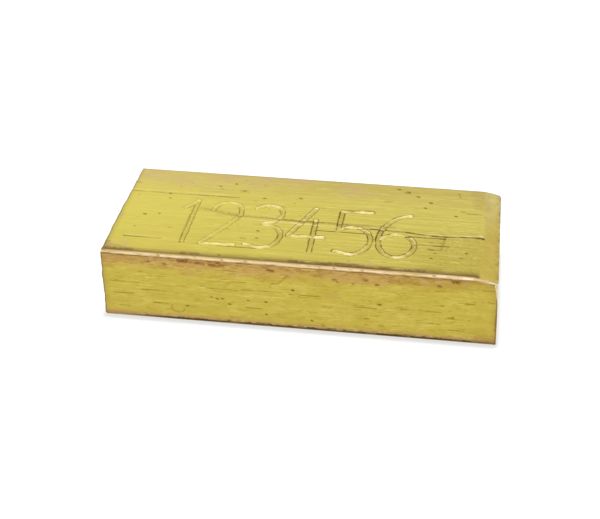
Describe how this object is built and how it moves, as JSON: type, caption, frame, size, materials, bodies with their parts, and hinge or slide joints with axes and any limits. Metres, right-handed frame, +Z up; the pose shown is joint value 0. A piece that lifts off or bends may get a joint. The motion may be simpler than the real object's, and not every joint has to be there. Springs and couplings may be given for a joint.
{
  "type": "brass flat bar ingot",
  "caption": "Short solid length of golden brass flat bar with a bright bevelled front edge and one end rolled down.",
  "frame": {"origin": "centre of the footprint, on the underside the bar lies on", "axes": "+X along the bar towards the rolled-down end, +Y from the bevelled front to the back, +Z up"},
  "size_m": [0.1, 0.0444, 0.0191],
  "materials": {
    "brass": "drawn golden-yellow brass, satin with lengthwise lines, tarnished brown along the edges and burnished bright on the bevel"
  },
  "bodies": {
    "root": {"brass_bar": "brass"}
  },
  "joints": []
}
